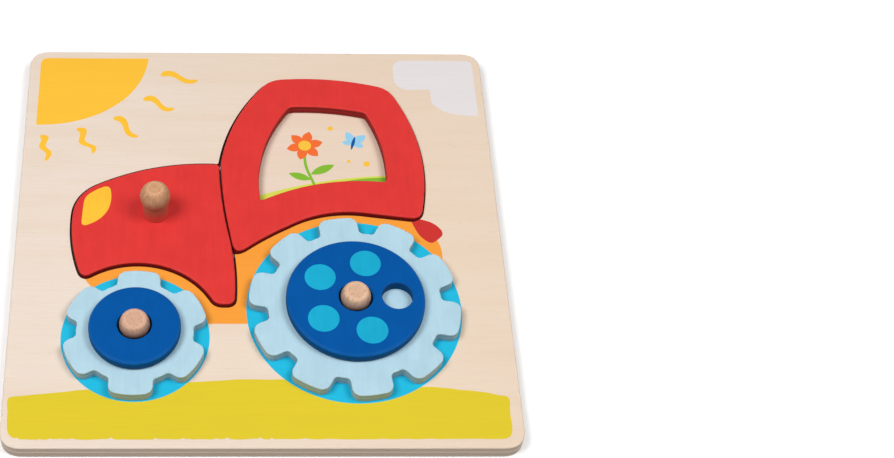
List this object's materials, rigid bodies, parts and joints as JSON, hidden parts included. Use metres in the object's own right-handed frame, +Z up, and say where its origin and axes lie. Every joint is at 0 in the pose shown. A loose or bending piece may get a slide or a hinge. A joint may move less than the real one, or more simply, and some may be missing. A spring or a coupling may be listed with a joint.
{
  "type": "wooden lift-out puzzle board with turning gear wheels",
  "caption": "Square wooden lift-out board with a tractor picture: bonnet with a knob, cab frame, and toothed wheels with hubs that turn on pegs.",
  "frame": {"origin": "middle of the board's underside", "axes": "+Z up out of the picture, +X to the picture's right, +Y to its top"},
  "size_m": [0.21, 0.21, 0.0267],
  "materials": {
    "birch_plywood": "bare sanded birch plywood, darker glue lines in its edges",
    "printed_plywood": "birch plywood with flat matt printed colours, grain showing through",
    "red_paint": "red satin paint on plywood, dark cut edges",
    "pale_blue_paint": "pale blue satin paint on plywood",
    "dark_blue_paint": "dark blue satin paint on plywood, light blue printed dots on the large hub",
    "turned_beech": "bare turned beech, slightly waxed",
    "zinc_steel": "bright zinc"
  },
  "bodies": {
    "board": {"base_sheet": "birch_plywood", "top_sheet": "printed_plywood", "small_axle_peg": "turned_beech", "small_axle_screw": "zinc_steel", "large_axle_peg": "turned_beech", "large_axle_screw": "zinc_steel"},
    "bonnet_piece": {"bonnet": "red_paint", "bonnet_knob": "turned_beech", "bonnet_knob_screw": "zinc_steel"},
    "cab_piece": {"cab": "red_paint"},
    "small_tyre": {"small_gear": "pale_blue_paint"},
    "small_hub_disc": {"small_hub": "dark_blue_paint"},
    "large_tyre": {"large_gear": "pale_blue_paint"},
    "large_hub_disc": {"large_hub": "dark_blue_paint"}
  },
  "joints": [
    {"name": "bonnet_lift", "type": "slide", "parent": "board", "child": "bonnet_piece", "axis": [0, 0, 1], "range_m": [0, 0.03]},
    {"name": "cab_lift", "type": "slide", "parent": "board", "child": "cab_piece", "axis": [0, 0, 1], "range_m": [0, 0.03]},
    {"name": "small_wheel_turn", "type": "hinge", "parent": "board", "child": "small_tyre", "pos_m": [-0.0522, -0.0531, 0.007], "axis": [0, 0, 1], "continuous": true},
    {"name": "small_hub_lift", "type": "slide", "parent": "small_tyre", "child": "small_hub_disc", "axis": [0, 0, 1], "range_m": [0, 0.02]},
    {"name": "large_wheel_turn", "type": "hinge", "parent": "board", "child": "large_tyre", "pos_m": [0.0392, -0.0393, 0.007], "axis": [0, 0, 1], "continuous": true},
    {"name": "large_hub_lift", "type": "slide", "parent": "large_tyre", "child": "large_hub_disc", "axis": [0, 0, 1], "range_m": [0, 0.02]}
  ]
}
